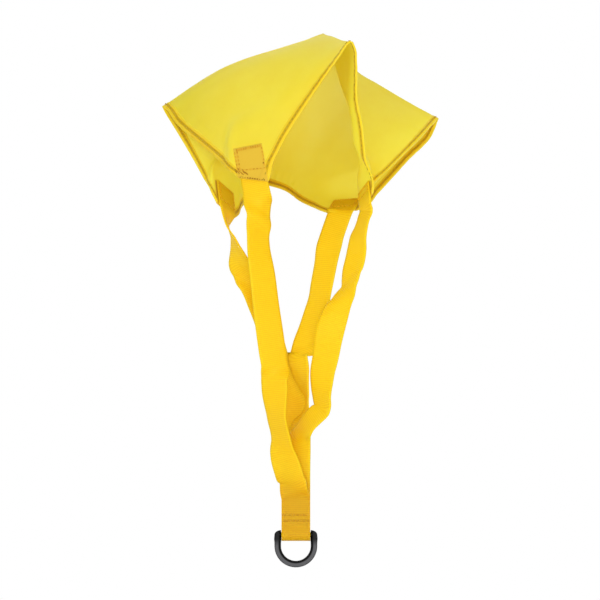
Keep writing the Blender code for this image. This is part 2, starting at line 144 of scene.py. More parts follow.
def addNode(tree, kind, settings=None, **links):
    # kind may end with an operation; settings fill attributes or sockets, links feed sockets
    kind, *operation = kind.split()
    node = tree.nodes.new("ShaderNode" + kind)
    if operation:
        node.operation = operation[0]
    for key, value in (settings or {}).items():
        if isinstance(key, int) or key in node.inputs:
            node.inputs[key].default_value = value
        else:
            setattr(node, key, value)
    for key, source in links.items():
        link(tree, source, node.inputs[int(key[1:]) if key[1:].isdigit() else key])
    return node


def newMaterial(name, settings):
    material = bpy.data.materials.new(name)
    material.use_nodes = True
    shader = material.node_tree.nodes["Principled BSDF"]
    for key, value in settings.items():
        shader.inputs[key].default_value = value
    return material, material.node_tree, shader


# camera, at the photograph's angle: level, facing the mouth
camera = {
    "frameWidth": 0.5217,    # metres across the picture at the webbing's depth
    "middle": (-0.02, -0.2313),
    "depth": -0.1,
    "distance": 24.0,
}


def placeCamera():
    data = bpy.data.cameras.new("camera")
    data.sensor_width = 36
    data.lens = data.sensor_width * camera["distance"] / camera["frameWidth"]
    data.clip_end = 100
    holder = addObject("camera", data)
    middleX, middleZ = camera["middle"]
    holder.location = (middleX, camera["depth"] - camera["distance"], middleZ)
    holder.rotation_euler = (pi / 2, 0, 0)
    bpy.context.scene.camera = holder


placeCamera()
print("camera placed")

# canopy: one square of coated cloth, hung by its crown, its corners cut to the webbing's width
canopy = {
    "side": 0.305,
    "cells": 122,
    "clothThick": 0.0006,
    "hemThick": 0.0013,
    "hemWidth": 0.0065,
    "hemStep": 0.0004,        # over which the hem thins to the cloth
    "puckerDepth": 0.00022,
    "puckerPitch": 0.011,
    "puckerWidth": 0.009,
    "puckerWander": 40,       # per metre
    "rippleDepth": 0.0006,
    "rippleScale": 22,        # per metre
    "rippleFade": 0.05,
    "cornerFade": 0.03,
    "crownLift": 0.0012,
    "crownWidth": 0.014,
    "roundWidth": 0.012,      # how far a hem's round reaches from the ridge
    "roundStart": 0.04,
    "roundRun": 0.06,
    "roundLeast": 0.01,
    "frontRound": 0.004,
    "sideRound": 0.0026,
    "tongueRun": 0.01,
    "blendAcross": 0.02,
    "blendAlong": 0.032,
    "probe": 0.0005,
    "merge": 0.00005,
}
webbing = {
    "width": 0.025,
    "thick": 0.0013,
    "shownWidth": 0.028,      # the tint's width on the cloth's outside
    "margin": 0.001,          # cloth beside the webbing at a cut corner
    "flatMargin": 0.0015,     # cloth that lies flat beside the sewn webbing
    "flatPast": 0.002,        # and past its end
    "sewnLength": 0.026,
    "cornerThick": 0.0015,    # cloth and hem under the sewn end
    "straightPastEdge": 0.005,
    "legLength": 0.2835,
    "straightRun": 0.0065,    # webbing that stays upright as it enters the stack
    "stackLength": 0.0225,
    "stackToBar": 0.0085,
    "step": 0.002,
    "probe": 0.001,
    "strips": 12,
    "gap": 0.0003,
    "loopPastBar": 20,        # degrees
    "loopSteps": 28,
    "stackShade": (-0.38, -0.402),    # heights between which painted shade fades in above the stack
}
half = canopy["side"] / 2
cornerCut = webbing["width"] + 2 * webbing["margin"]
layerPitch = webbing["thick"] + webbing["gap"]
sewnDepth = webbing["cornerThick"] / 2 + webbing["gap"]    # from a corner's plane to the webbing
edgeAlong = half * sqrt(2) - cornerCut / 2     # from the crown to a cut edge, along the diagonal
flatAcross = webbing["width"] / 2 + webbing["flatMargin"]
flatAlong = webbing["sewnLength"] + webbing["flatPast"]


def drape(x, y, z):
    return Vector((x, y, z)) * half


sideMiddles = {
    "left": drape(-0.924, 0.0, -0.404),
    "front": drape(0.154, -0.984, -0.034),
    "right": drape(0.662, -0.21, -0.474),
    "back": drape(-0.341, 0.328, -0.852),
}
ridges = {
    "left": [drape(-0.075, -0.004, -0.024), drape(-0.249, -0.013, -0.082),
             drape(-0.59, -0.013, -0.197)],
    "front": [drape(0.052, -0.328, -0.01), drape(0.111, -0.656, -0.027)],
    "right": [drape(0.197, 0.144, -0.207), drape(0.315, 0.085, -0.276),
              drape(0.433, 0.026, -0.346)],
    "back": [drape(-0.092, 0.184, -0.236), drape(-0.223, 0.315, -0.538)],
}
corners = {    # fall is the way the webbing leaves the corner, across is its width
    "frontLeft": {
        "sides": ("left", "front"), "signs": (-1, -1),
        "point": drape(-0.386, -0.706, -0.893),
        "fall": (0.17, -0.05, -0.985), "across": (0.9, -0.42, 0.15),
        "bulge": drape(-0.039, -0.072, 0.085), "fold": drape(0, 0, 0), "softness": 0.3,
        "tongue": 0.008,
    },
    "backLeft": {
        "sides": ("left", "back"), "signs": (-1, 1),
        "point": drape(-0.548, -0.58, -1.076),
        "fall": (0.08, -0.62, -0.78), "across": (0.55, 0.68, -0.48),
        "bulge": drape(0, 0, 0), "fold": drape(0.111, -0.17, 0), "softness": 0.45,
        "straight": 0.001,
    },
    "backRight": {
        "sides": ("right", "back"), "signs": (1, 1),
        "point": drape(0.091, -0.554, -1.039),
        "fall": (-0.2, -0.92, -0.33), "across": (-0.96, 0.26, -0.07),
        "bulge": drape(-0.026, -0.013, 0), "fold": drape(0, 0, 0), "softness": 0.3,
    },
    "frontRight": {
        "sides": ("right", "front"), "signs": (1, -1),
        "point": drape(0.258, -0.895, -1.035),
        "fall": (0.1, -0.47, -0.88), "across": (0.36, -0.83, 0.43),
        "bulge": drape(0, 0, 0), "fold": drape(-0.098, 0.039, -0.085), "softness": 0.05,
        "sewn": 0.014,
    },
}
hems = {
    ("left", "frontLeft"): [
        drape(-0.886, -0.072, -0.437), drape(-0.838, -0.142, -0.508),
        drape(-0.702, -0.318, -0.628), drape(-0.588, -0.485, -0.724)],
    ("left", "backLeft"): [
        drape(-0.902, -0.018, -0.447), drape(-0.862, -0.082, -0.512),
        drape(-0.754, -0.284, -0.689)],
    ("front", "frontLeft"): [
        drape(0.08, -0.957, -0.148), drape(-0.006, -0.925, -0.273),
        drape(-0.097, -0.892, -0.41), drape(-0.199, -0.839, -0.57)],
    ("front", "frontRight"): [
        drape(0.182, -0.986, -0.08), drape(0.191, -0.984, -0.197),
        drape(0.194, -0.977, -0.38), drape(0.222, -0.964, -0.518),
        drape(0.245, -0.944, -0.719), drape(0.264, -0.934, -0.838)],
    ("right", "frontRight"): [
        drape(0.525, -0.482, -0.623), drape(0.38, -0.668, -0.767),
        drape(0.285, -0.75, -0.862)],
    ("right", "backRight"): [
        drape(0.61, -0.118, -0.593), drape(0.496, -0.164, -0.707),
        drape(0.393, -0.295, -0.82), drape(0.289, -0.407, -0.929)],
    ("back", "backLeft"): [
        drape(-0.393, 0.033, -0.905), drape(-0.462, -0.262, -0.981)],
    ("back", "backRight"): [
        drape(-0.216, 0.079, -0.892), drape(-0.131, -0.118, -0.951),
        drape(-0.046, -0.302, -0.99)],
}


def cornerFrame(corner):
    # middle of the cut edge, and the directions of the webbing, across it and inwards
    fall = Vector(corner["fall"]).normalized()
    across = Vector(corner["across"])
    across = (across - fall * across.dot(fall)).normalized()
    signU, signV = corner["signs"]
    tip = corner["point"] - fall * cornerCut / 2
    return tip, fall, across, across.cross(fall) * signU * signV


def tongueAt(corner, beside, along):
    # how far the cloth's cut edge hangs down on one side of the webbing
    length = corner.get("tongue", 0) * (0.5 + beside / cornerCut)
    return length * smoothStep(1 + along / canopy["tongueRun"])


def hangingCloth():
    crown = Vector((0, 0, 0))
    ridgeAt = {}
    for side, points in ridges.items():
        ridgeAt[side] = measured([crown] + points + [sideMiddles[side]])[0]
    hemAt = {}
    for (side, name), points in hems.items():
        tip, fall, across, inward = cornerFrame(corners[name])
        towards = -1 if side == corners[name]["sides"][0] else 1
        ends = [tip + across * towards * cornerCut / 2, corners[name]["point"]]
        hemAt[side, name] = measured([sideMiddles[side]] + points + ends)[0]
    quarters = {}
    for name, corner in corners.items():
        quarters[corner["signs"]] = (name, corner, cornerFrame(corner))

    def pointAt(u, v):
        quarter = quarters[-1 if u < 0 else 1, -1 if v < 0 else 1]
        name, corner, (tip, fall, across, inward) = quarter
        sideU, sideV = corner["sides"]
        s = abs(u) / half
        t = abs(v) / half
        # a patch between two ridges and two hems, with its bulge and its fold
        edges = (ridgeAt[sideU](s) * (1 - t) + hemAt[sideV, name](s) * t
                 + ridgeAt[sideV](t) * (1 - s) + hemAt[sideU, name](t) * s)
        ends = (sideMiddles[sideU] * s * (1 - t) + sideMiddles[sideV] * (1 - s) * t
                + corner["point"] * s * t)
        bulge = corner["bulge"] * 16 * s * (1 - s) * t * (1 - t)
        spread = sqrt((s - t) ** 2 + corner["softness"] ** 2)
        tent = max((s + t - spread) / 2, 0.0) * max(1 - (s + t + spread) / 2, 0.0)
        point = edges - ends + bulge + corner["fold"] * 4 * tent

        # near its corner the cloth lies flat against the webbing
        along = (abs(u) + abs(v)) / sqrt(2) - edgeAlong
        beside = (abs(v) - abs(u)) / sqrt(2)
        runAcross, runAlong = canopy["blendAcross"], canopy["blendAlong"]
        flat = smoothStep((flatAcross + runAcross - abs(beside)) / runAcross)
        flat *= smoothStep((flatAlong + runAlong + along) / runAlong)
        drop = along + tongueAt(corner, beside, along)
        return point.lerp(tip + fall * drop + across * beside, flat)

    def roundedAt(u, v):
        # a hem turns over its ridge in a small round, not a sharp fold
        atFrontOrBack = abs(v) > abs(u)
        beside, out = (u, v) if atFrontOrBack else (v, u)
        amount = bump(beside, canopy["roundWidth"])
        amount *= smoothStep((abs(out) - canopy["roundStart"]) / canopy["roundRun"])
        if amount < canopy["roundLeast"]:
            lift = canopy["crownLift"] * bump(hypot(u, v), canopy["crownWidth"])
            return pointAt(u, v) + Vector((0, 0, lift))
        reach = (canopy["frontRound"] if -v > abs(u) else canopy["sideRound"]) * amount
        stepU, stepV = (reach, 0) if atFrontOrBack else (0, reach)
        shares = (-1, -0.5, 0, 0.5, 1)
        near = [pointAt(u + stepU * share, v + stepV * share) for share in shares]
        return sum(near, Vector()) / len(near)
    return roundedAt


clothAt = hangingCloth()


def clothFrame(u, v):
    # point, normal (away from the hollow) and the two directions of the weave
    reach = canopy["probe"]
    alongU = (clothAt(u + reach, v) - clothAt(u - reach, v)).normalized()
    alongV = (clothAt(u, v + reach) - clothAt(u, v - reach)).normalized()
    return clothAt(u, v), alongU.cross(alongV).normalized(), alongU, alongV


def fineForm(u, v):
    # puckers beside the hem's stitching, and slack ripples in the middle of each quarter
    toEdge = half - max(abs(u), abs(v))
    alongEdge = u if abs(v) > abs(u) else v
    wander, scale, fade = canopy["puckerWander"], canopy["rippleScale"], canopy["rippleFade"]
    phase = alongEdge / canopy["puckerPitch"] * 2 * pi
    pucker = sin(phase + 3 * noise.noise((u * wander, v * wander, 0)))
    lift = canopy["puckerDepth"] * pucker * bump(toEdge - canopy["hemWidth"], canopy["puckerWidth"])
    inside = smoothStep(toEdge / fade) * smoothStep(hypot(u, v) / fade)
    lift += canopy["rippleDepth"] * noise.noise((u * scale + 5, v * scale, 1.7)) * inside
    toCorner = edgeAlong - (abs(u) + abs(v)) / sqrt(2)
    return lift * smoothStep((toCorner - flatAlong) / canopy["cornerFade"])


def cutAlong(bm, place, normal, clear=False):
    bmesh.ops.bisect_plane(bm, geom=bm.verts[:] + bm.edges[:] + bm.faces[:], plane_co=place,
                           plane_no=normal, clear_outer=clear)


def buildCanopy(material):
    bm = bmesh.new()
    bmesh.ops.create_grid(bm, x_segments=canopy["cells"], y_segments=canopy["cells"], size=half)
    for corner in corners.values():
        outwards = Vector((*corner["signs"], 0)).normalized()
        cutAlong(bm, outwards * edgeAlong, outwards, clear=True)
    for x, y in ((1, 0), (-1, 0), (0, 1), (0, -1)):
        for inset in (canopy["hemWidth"], canopy["hemWidth"] + canopy["hemStep"]):
            cutAlong(bm, Vector((x, y, 0)) * (half - inset), (x, y, 0))
    bmesh.ops.remove_doubles(bm, verts=bm.verts[:], dist=canopy["merge"])
    uvLayer = bm.loops.layers.uv.new("cut")
    for face in bm.faces:
        for loop in face.loops:
            u, v = loop.vert.co.xy
            loop[uvLayer].uv = (u / canopy["side"] + 0.5, v / canopy["side"] + 0.5)
    hemLayer = bm.verts.layers.deform.verify()
    hemStart = half - canopy["hemWidth"] - 2 * canopy["merge"]
    for vert in bm.verts:
        u, v = vert.co.x, vert.co.y
        inHem = max(abs(u), abs(v)) > hemStart
        vert[hemLayer][0] = 1.0 if inHem else canopy["clothThick"] / canopy["hemThick"]
        point, normal = clothFrame(u, v)[:2]
        vert.co = point + normal * fineForm(u, v)
    piece = newPiece("canopyCloth", bm, "canopy_and_webbing", "canopy", material, "canopy")
    piece.vertex_groups.new(name="hem")
    wall = piece.modifiers.new("cloth and hems", 'SOLIDIFY')
    wall.thickness = canopy["hemThick"]
    wall.offset = 0
    wall.vertex_group = "hem"
    return piece


# webbing: two lengths, each down one leg, round the bar and up the other
legStations = {    # share along, offsets in X and Y, turn, slant
    "frontLeft": [
        (0.059, 0.0032, -0.0055, 19, -0.03), (0.11, 0.0006, -0.006, -31, 0.33),
        (0.163, -0.0077, -0.0066, -42, 0.31), (0.228, -0.0138, -0.0074, -40, 0.1),
        (0.305, -0.0125, -0.0083, -31, -0.08), (0.397, -0.0134, -0.0093, -28, -0.11),
        (0.477, -0.0134, -0.0102, -23, -0.13), (0.548, -0.0126, -0.0075, -22, -0.16),
        (0.591, -0.0116, -0.0045, -22, -0.1), (0.626, -0.0151, -0.0049, 25, -0.02),
        (0.66, -0.021, -0.0095, 28, -0.05), (0.69, -0.0239, -0.0127, 36, -0.09),
        (0.726, -0.0258, -0.0149, 47, -0.08), (0.754, -0.0265, -0.0152, 52, -0.09),
        (0.794, -0.0225, -0.0139, 53, -0.1), (0.82, -0.0214, -0.0142, 49, -0.07),
        (0.858, -0.0212, -0.0111, 32, -0.16), (0.898, -0.0155, -0.0133, 20, -0.28),
        (0.935, -0.0088, -0.013, 23, -0.37), (0.952, -0.0032, -0.0118, 30, -0.34),
        (0.976, -0.0018, -0.0085, 14, -0.15)],
    "backLeft": [
        (0.055, -0.0103, -0.017, 94, -0.21), (0.093, -0.0028, -0.0165, 84, -0.04),
        (0.131, -0.001, -0.0125, 71, -0.04), (0.166, -0.0007, -0.0087, 54, -0.09),
        (0.195, 0.0009, -0.0041, 43, -0.29), (0.229, 0.0149, 0.0004, 33, -0.51),
        (0.276, 0.0287, 0.0032, -15, -0.48), (0.345, 0.0398, 0.009, -16, -0.35),
        (0.399, 0.0422, 0.0157, -28, -0.28), (0.468, 0.0405, 0.0304, -32, -0.3),
        (0.509, 0.0419, 0.04, -30, -0.36), (0.54, 0.0445, 0.0471, -27, -0.42),
        (0.575, 0.0509, 0.0527, -29, -0.44), (0.616, 0.0579, 0.0604, -26, -0.39),
        (0.663, 0.0625, 0.066, -13, -0.2), (0.706, 0.0556, 0.0693, -9, -0.02),
        (0.755, 0.046, 0.0651, -9, 0.02), (0.837, 0.0301, 0.0454, -6, 0.02),
        (0.9, 0.0182, 0.0261, -6, 0.01)],
    "backRight": [
        (0.058, -0.0118, -0.0174, 38, 0.15), (0.099, -0.0182, -0.0153, 37, 0.21),
        (0.13, -0.0212, -0.0141, 33, 0.13), (0.182, -0.0223, -0.0163, 40, 0.06),
        (0.258, -0.0244, -0.0162, 42, 0.05), (0.306, -0.0254, -0.0187, 44, 0.04),
        (0.348, -0.0291, -0.0219, 40, 0.11), (0.403, -0.0354, -0.0237, 36, 0.18),
        (0.457, -0.0441, -0.0257, 33, 0.28), (0.496, -0.0516, -0.0266, 46, 0.49),
        (0.511, -0.0601, -0.0288, 53, 0.21), (0.541, -0.0538, -0.0295, 51, -0.01),
        (0.571, -0.0451, -0.0231, 58, 0.09), (0.615, -0.0296, -0.0108, 72, 0.18),
        (0.661, -0.0129, 0.0048, 86, 0.2), (0.703, -0.0121, 0.0123, 78, 0.07),
        (0.748, -0.0216, 0.0137, 51, 0.06), (0.81, -0.0184, 0.0093, 37, -0.04),
        (0.9, -0.0126, 0.0019, 17, 0.00)],
    "frontRight": [
        (0.029, 0.0106, -0.0133, 66, -0.04), (0.057, 0.0085, -0.0169, 68, 0.25),
        (0.084, 0.0067, -0.0148, 67, 0.37), (0.122, 0.0047, -0.0104, 58, 0.32),
        (0.162, 0.0093, -0.0047, 51, 0.29), (0.21, 0.0124, 0.0015, 50, 0.46),
        (0.248, 0.0136, 0.0045, 56, 0.72), (0.272, 0.0126, 0.0055, 64, 0.81),
        (0.309, 0.0022, 0.0087, 56, 0.92), (0.354, -0.0098, 0.011, 33, 0.73),
        (0.415, -0.014, 0.0117, 11, 0.42), (0.472, -0.0126, 0.0109, 21, 0.29),
        (0.522, -0.0098, 0.0109, 27, 0.21), (0.569, -0.0085, 0.0095, 33, 0.13),
        (0.616, -0.0018, 0.0027, 43, -0.04), (0.657, 0.0069, -0.0075, 53, -0.14),
        (0.688, 0.0155, -0.0147, 56, -0.17), (0.706, 0.0086, -0.0176, 51, 0.28),
        (0.732, -0.0091, -0.0155, 52, 0.34), (0.762, -0.0236, -0.008, 55, 0.5),
        (0.796, -0.0335, 0.0068, 41, 0.51), (0.852, -0.0291, 0.01, 17, 0.12),
        (0.929, -0.0152, 0.0061, 9, 0.02)],
}
webbings = {    # each leg's corner, its layer in the stack, and the side its width points to
    "left": {
        "legs": (("frontLeft", -1.5, 1), ("backLeft", 1.5, -1)),
        "layer": 1, "node": "left_webbing",
    },
    "right": {
        "legs": (("frontRight", -0.5, 1), ("backRight", 0.5, -1)),
        "layer": 0, "node": "right_webbing",
    },
}


def levelAndDepth(ahead):
    level = ahead.cross(Vector((0, 1, 0))).normalized()
    return level, ahead.cross(level).normalized()


def turnedAcross(ahead, turn):
    level, depth = levelAndDepth(ahead)
    return level * cos(turn) + depth * sin(turn)


def cornerTurn(across, ahead, nearTurn):
    level, depth = levelAndDepth(ahead)
    turn = atan2(across.dot(depth), across.dot(level))
    return turn + 2 * pi * round((nearTurn - turn) / (2 * pi))


def legSections(name, layer, acrossSign, stackTop):
    # middle and width direction of each section, from the sewn end to the stack
    width, step, straightRun = webbing["width"], webbing["step"], webbing["straightRun"]
    tip, fall, across, inward = cornerFrame(corners[name])
    seat = tip + inward * (sewnDepth + webbing["thick"] / 2)
    across = across * acrossSign
    sewnLength = corners[name].get("sewn", webbing["sewnLength"])
    sewnSteps = round(sewnLength / step)
    sections = []
    for index in range(sewnSteps):
        sections.append((seat + fall * sewnLength * (index / sewnSteps - 1), across))
    # the free leg: its middle, its turn and its slant all run on one curve
    end = stackTop + Vector((0, layer * layerPitch, 0))
    route = []
    for share, offsetX, offsetY, turn, slant in legStations[name]:
        place = seat.lerp(end, share) + Vector((offsetX, offsetY, 0)) * webbing["legLength"]
        route.append(Vector((*place, radians(turn) * width, slant * width)))
    firstTurn = cornerTurn(across, fall, route[0].w / width)
    for distance in (corners[name].get("straight", webbing["straightPastEdge"]), 0):
        route.insert(0, Vector((*(seat + fall * distance), firstTurn * width, 0)))
    route.append(Vector((*end, 0, 0)))
    route.append(Vector((*(end - Vector((0, 0, straightRun))), 0, 0)))
    pointAt, length = measured(route)
    stackShare = 1 - straightRun / length
    probe = webbing["probe"] / length
    count = round(length * stackShare / step)
    for index in range(count + 1):
        share = stackShare * index / count
        point = pointAt(share)
        ahead = fall
        if index:
            ahead = (pointAt(share + probe).xyz - pointAt(share - probe).xyz).normalized()
        wide = turnedAcross(ahead, point.w / width) - ahead * point[4] / width
        sections.append((point.xyz, wide))
    return sections


def webbingSections(plan):
    bar = Vector(ring["barMiddle"])
    front, back = plan["legs"]
    stackHeight = webbing["stackToBar"] + webbing["stackLength"]
    stackTop = bar + Vector((0, 0, stackHeight))
    depth = (plan["layer"] + 0.5) * layerPitch
    radius = ring["barDiameter"] / 2 + webbing["gap"] + webbing["thick"] / 2
    radius += plan["layer"] * layerPitch
    stackSteps = round(webbing["stackLength"] / webbing["step"])
    near = []
    for index in range(1, stackSteps + 1):
        height = stackHeight - webbing["stackLength"] * index / stackSteps
        near.append(bar + Vector((0, -depth, height)))
    sweep = 180 + 2 * webbing["loopPastBar"]
    turn = []
    for index in range(webbing["loopSteps"] + 1):
        angle = radians(sweep * index / webbing["loopSteps"] - webbing["loopPastBar"])
        turn.append(bar + Vector((0, -cos(angle), -sin(angle))) * radius)
    stackEnd = near[-1]
    near += [stackEnd.lerp(turn[0], share) for share in (0.33, 0.66)]
    far = [Vector((middle.x, 2 * bar.y - middle.y, middle.z)) for middle in near[::-1]]
    loop = [(middle, Vector((1, 0, 0))) for middle in near + turn + far]
    return legSections(*front, stackTop) + loop + legSections(*back, stackTop)[::-1]


creases = {    # height in the picture, tilt, width and depth of a crease pressed across a leg
    "frontLeft": [(-0.16, -0.85, 0.006, 0.003), (-0.301, 0.0, 0.0045, 0.0016)],
    "backRight": [(-0.279, 0.25, 0.006, 0.001)],
    "frontRight": [(-0.213, -0.8, 0.007, 0.0012)],
    "backLeft": [(-0.22, 0.6, 0.007, 0.001)],
}


def creaseDepth(name, height, beside):
    total = 0
    for place, tilt, width, depth in creases[name]:
        total += depth * bump(height - place - tilt * beside, width)
    return total


def buildWebbing(name, plan, material):
    sections = webbingSections(plan)
    rows = len(sections) - 1
    width = webbing["width"]
    bm = bmesh.new()
    bmesh.ops.create_grid(bm, x_segments=webbing["strips"], y_segments=rows, size=0.5)
    neighbours = zip([sections[0]] + sections, sections[1:] + [sections[-1]])
    aheads = [after[0] - before[0] for before, after in neighbours]
    reach = [0.0]
    for one, two in zip(sections, sections[1:]):
        reach.append(reach[-1] + (two[0] - one[0]).length)
    uvLayer = bm.loops.layers.uv.new("cut")
    for face in bm.faces:
        for loop in face.loops:
            row = round((loop.vert.co.y + 0.5) * rows)
            beside = loop.vert.co.x * width
            slant = sections[row][1].dot(aheads[row].normalized())
            loop[uvLayer].uv = (beside, reach[row] + slant * beside)
    frontLeg, backLeg = (leg[0] for leg in plan["legs"])
    for vert in bm.verts:
        row = round((vert.co.y + 0.5) * rows)
        middle, across = sections[row]
        towards = across.cross(aheads[row]).normalized()
        towards *= -1 if towards.y > 0 else 1
        beside = vert.co.x * width * (1 if across.x > 0 else -1)
        pressed = creaseDepth(frontLeg if row < rows / 2 else backLeg, middle.z, beside)
        vert.co = middle + across * width * vert.co.x + towards * pressed
    piece = newPiece(name, bm, "canopy_and_webbing", "webbing", material, plan["node"])
    wall = piece.modifiers.new("webbing", 'SOLIDIFY')
    wall.thickness = webbing["thick"]
    wall.offset = 0


# sewing: one small closed stitch, repeated along each row
stitching = {
    "share": 0.72,              # of the pitch that a stitch shows
    "raised": 0.3,              # of its radius that a stitch's middle lies above the surface
    "hemInset": 0.0036,
    "grooveWidth": 0.0024,
    "boxTop": 0.0015,           # from the webbing's sewn end
    "boxLow": -0.0065,          # from the cut edge
    "boxLeft": (0.0008, 0.0032),
    "boxRight": 0.001,
    "columnDrop": 0.001,
    "topRow": (0.002, 0.001),
    "topRowGap": 0.0008,
    "lowRow": 0.001,
    "tackLength": 0.0062,
    "tacks": [                  # place across, lower end and lean of each tack
        (-0.0148, -0.003, 0.001), (-0.0128, -0.0022, 0.0022), (-0.0118, -0.0036, 0.0014),
        (-0.0094, -0.001, 0.0026), (-0.008, -0.0026, 0.0012), (-0.0056, -0.0012, 0.003)],
    "whippedEdge": ((-0.0128, -0.001), (0.0118, -0.001)),
    "lastTack": ((0.0112, -0.01), (0.0135, -0.008)),
    "stackInset": 0.0006,
    "stackRows": (0.0172, 0.0122),    # above the bar
    "hem": {"pitch": 0.004, "radius": 0.00042, "sway": 0},
    "box": {"pitch": 0.0034, "radius": 0.0006, "sway": 0},
    "cross": {"pitch": 0.0023, "radius": 0.00042, "sway": 42},
    "tack": {"pitch": 0.0068, "radius": 0.0006, "sway": 0},
    "stack": {"pitch": 0.003, "radius": 0.00055, "sway": 36},
}


def sewRow(bm, surface, start, end, style):
    # surface gives a point, the two directions of its plane and its outward normal
    start, end = Vector(start), Vector(end)
    run = end - start
    sway = radians(style["sway"])
    radius = style["radius"]
    count = max(round(run.length / style["pitch"]), 1)
    row = bmesh.new()
    for index in range(count):
        for turn in ((sway, -sway) if sway else (0,)):
            heading = Matrix.Rotation(turn, 2) @ run.normalized()
            middle = start + run * (index + 0.5) / count
            point, alongA, alongB, outwards = surface(*middle)
            along = alongA * heading.x + alongB * heading.y
            along = (along - outwards * along.dot(outwards)).normalized()
            length = style["pitch"] * stitching["share"] / cos(sway)
            columns = (outwards.cross(along) * radius, outwards * radius, along * length / 2)
            place = Matrix(columns).transposed().to_4x4()
            place.translation = point + outwards * radius * stitching["raised"]
            bmesh.ops.create_uvsphere(row, u_segments=6, v_segments=4, radius=1, matrix=place)
    bmesh.ops.recalc_face_normals(row, faces=row.faces[:])
    sewn = finishMesh(row, "row")
    bm.from_mesh(sewn)
    bpy.data.meshes.remove(sewn)


def hemSurface(side, face):
    signU, signV = {"left": (-1, 0), "right": (1, 0), "front": (0, -1), "back": (0, 1)}[side]

    def surface(along, out):
        u, v = (signU * out, along) if signU else (along, signV * out)
        point, normal, alongU, alongV = clothFrame(u, v)
        lift = fineForm(u, v) + face * canopy["hemThick"] / 2
        directions = (alongV, alongU * signU) if signU else (alongU, alongV * signV)
        return (point + normal * lift, *directions, normal * face)
    return surface


def cornerSurface(name, depth, face):
    tip, fall, across, inward = cornerFrame(corners[name])

    def surface(beside, along):
        drop = along + tongueAt(corners[name], beside, along)
        point = tip + across * beside + fall * drop + inward * depth
        return point, across, fall, inward * face
    return surface


def stackSurface(face):
    bar = Vector(ring["barMiddle"])
    depth = 1.5 * layerPitch + webbing["thick"] / 2

    def surface(beside, height):
        point = bar + Vector((beside, face * depth, height))
        return point, Vector((1, 0, 0)), Vector((0, 0, 1)), Vector((0, face, 0))
    return surface


def buildHemSewing(material):
    bm = bmesh.new()
    reach = edgeAlong * sqrt(2) - half + stitching["hemInset"]
    out = half - stitching["hemInset"]
    for side in sideMiddles:
        for face in (-1, 1):
            sewRow(bm, hemSurface(side, face), (-reach, out), (reach, out), stitching["hem"])
    return newPiece("hemSewing", bm, "canopy_and_webbing", "canopy", material)


def buildCornerSewing(pieceName, face, material):
    # a box with a double left row, and a crossed row at its top, through cloth and webbing
    bm = bmesh.new()
    low = stitching["boxLow"]
    startInset, endInset = stitching["topRow"]
    depth, side = sewnDepth + webbing["thick"], webbing["width"] / 2
    if face < 0:
        depth, side = -canopy["clothThick"] / 2, webbing["shownWidth"] / 2
    columns = [inset - side for inset in stitching["boxLeft"]] + [side - stitching["boxRight"]]
    for name, corner in corners.items():
        top = stitching["boxTop"] - corner.get("sewn", webbing["sewnLength"])
        surface = cornerSurface(name, depth, face)
        for beside in columns:
            sewRow(bm, surface, (beside, top + stitching["columnDrop"]), (beside, low),
                   stitching["box"])
        for height in (top, top + stitching["topRowGap"]) if face < 0 else (top,):
            sewRow(bm, surface, (startInset - side, height), (side - endInset, height),
                   stitching["cross"])
        sewRow(bm, surface, (stitching["lowRow"] - side, low), (side, low), stitching["box"])
    return newPiece(pieceName, bm, "canopy_and_webbing", "webbing", material)


def buildBackTacking(material):
    # the machine's forward and back stitches at the end of each box, and the whipped cut edge
    bm = bmesh.new()
    for name in corners:
        surface = cornerSurface(name, -canopy["clothThick"] / 2, -1)
        for beside, low, lean in stitching["tacks"]:
            sewRow(bm, surface, (beside - lean, low - stitching["tackLength"]),
                   (beside + lean, low), stitching["tack"])
        sewRow(bm, surface, *stitching["whippedEdge"], stitching["cross"])
        sewRow(bm, surface, *stitching["lastTack"], stitching["cross"])
    return newPiece("backTacking", bm, "canopy_and_webbing", "webbing", material)


def buildStackSewing(material):
    bm = bmesh.new()
    side = webbing["width"] / 2 - stitching["stackInset"]
    for face in (-1, 1):
        for height in stitching["stackRows"]:
            sewRow(bm, stackSurface(face), (-side, height), (side, height), stitching["stack"])
    newPiece("stackSewing", bm, "canopy_and_webbing", "webbing", material)


# D-ring: a bow swept round, straight arms with round ends, and a round bar
ring = {
    "barMiddle": (-0.0236, -0.1, -0.435386),
    "barDiameter": 0.0044,
    "barSides": 32,
    "section": 0.0057,
    "thick": 0.0046,
    "edge": 0.0009,
    "innerEdge": 0.00225,
    "edgeSteps": 5,
    "bowSteps": 48,
    "armLength": 0.0098,
    "armSteps": 7,
    "shoulder": 0.004,
    "shoulderSteps": 8,
    "shoulderThin": 0.25,     # of its thickness that an arm loses at its end
    "endShrink": 0.02,
    "knuckle": 0.12,          # how much wider an arm is at the bar
    "knuckleFrom": 0.8,       # of the arm's length, below the bar
    "knuckleDrop": 0.0035,
    "knuckleWidth": 0.0022,
    "sidePlay": 0.0004,
    "merge": 0.00001,
    "sharpAngle": 40,
    "reflectingFace": (0.22, 0.02),    # of its edge, where the painted reflection on a face starts and is full
    "innerShade": (0.0019, 0.0026),    # from the bow's inner edge, where the painted shade ends
    "armShade": (0.004, 0.01),        # below the bar, where the painted shade on the arms ends
}
ringInner = webbing["width"] / 2 + ring["sidePlay"]


def partsOf(made, kind):
    return [part for part in made if isinstance(part, kind)]


def raiseArm(bm, face):
    for step in range(ring["armSteps"]):
        raised = bmesh.ops.extrude_face_region(bm, geom=[face])["geom"]
        verts = partsOf(raised, bmesh.types.BMVert)
        height = ring["armLength"] / ring["armSteps"]
        bmesh.ops.translate(bm, vec=(0, 0, height), verts=verts)
        bmesh.ops.delete(bm, geom=[face], context='FACES_ONLY')
        face = partsOf(raised, bmesh.types.BMFace)[0]
    return face


